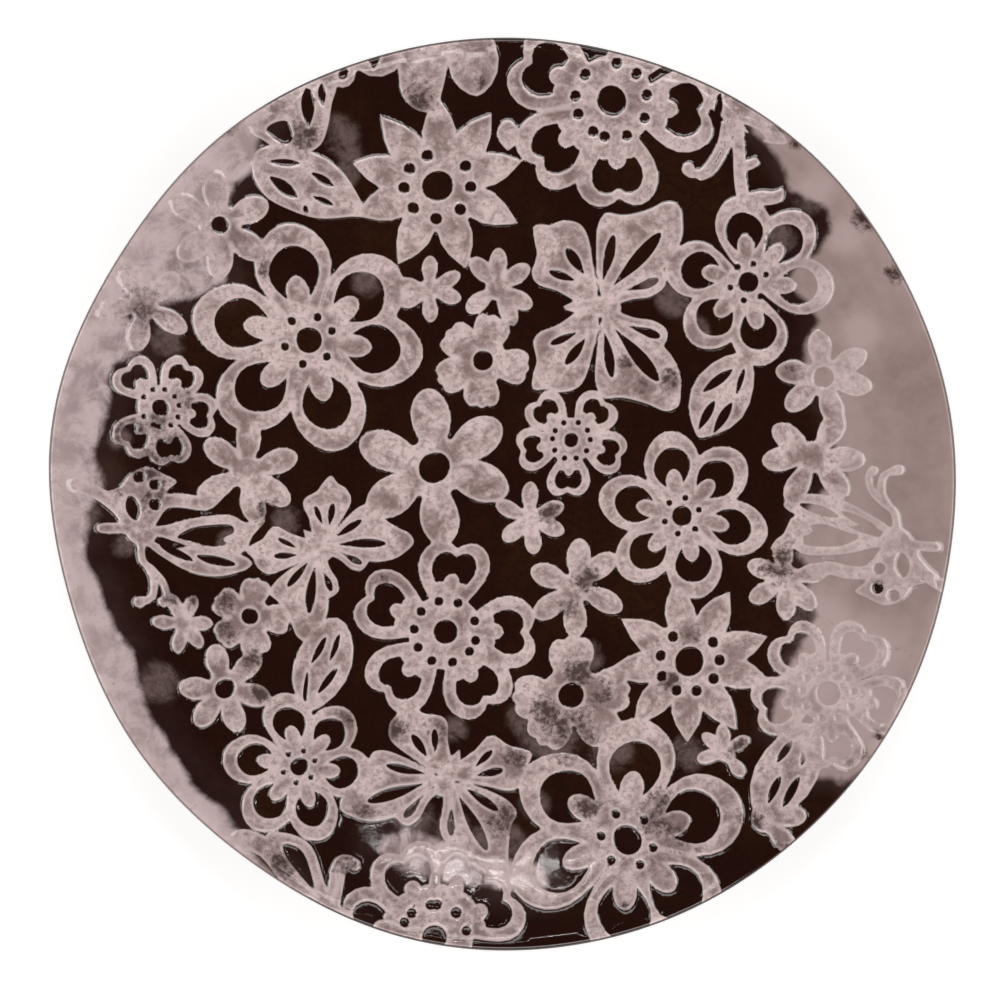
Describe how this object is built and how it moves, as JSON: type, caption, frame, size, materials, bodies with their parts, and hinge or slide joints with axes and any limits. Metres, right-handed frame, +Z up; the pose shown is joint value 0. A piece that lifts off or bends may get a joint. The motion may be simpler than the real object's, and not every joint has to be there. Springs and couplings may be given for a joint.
{
  "type": "decorative platter",
  "caption": "Round glazed stoneware platter with a flat well, an upturned rim and a lace pattern of flowers, butterflies and leaves pressed into its top.",
  "frame": {"origin": "centre of the platter's width and depth, at the plane of its foot", "axes": "+Z up through the platter's middle, out of its well; +Y towards the top of the picture, +X to its right"},
  "size_m": [0.3396, 0.3422, 0.028],
  "materials": {
    "glaze": "glossy dark brown glaze with mottled pinkish white glaze in the pressed lace"
  },
  "bodies": {
    "root": {"platter": "glaze"}
  },
  "joints": []
}
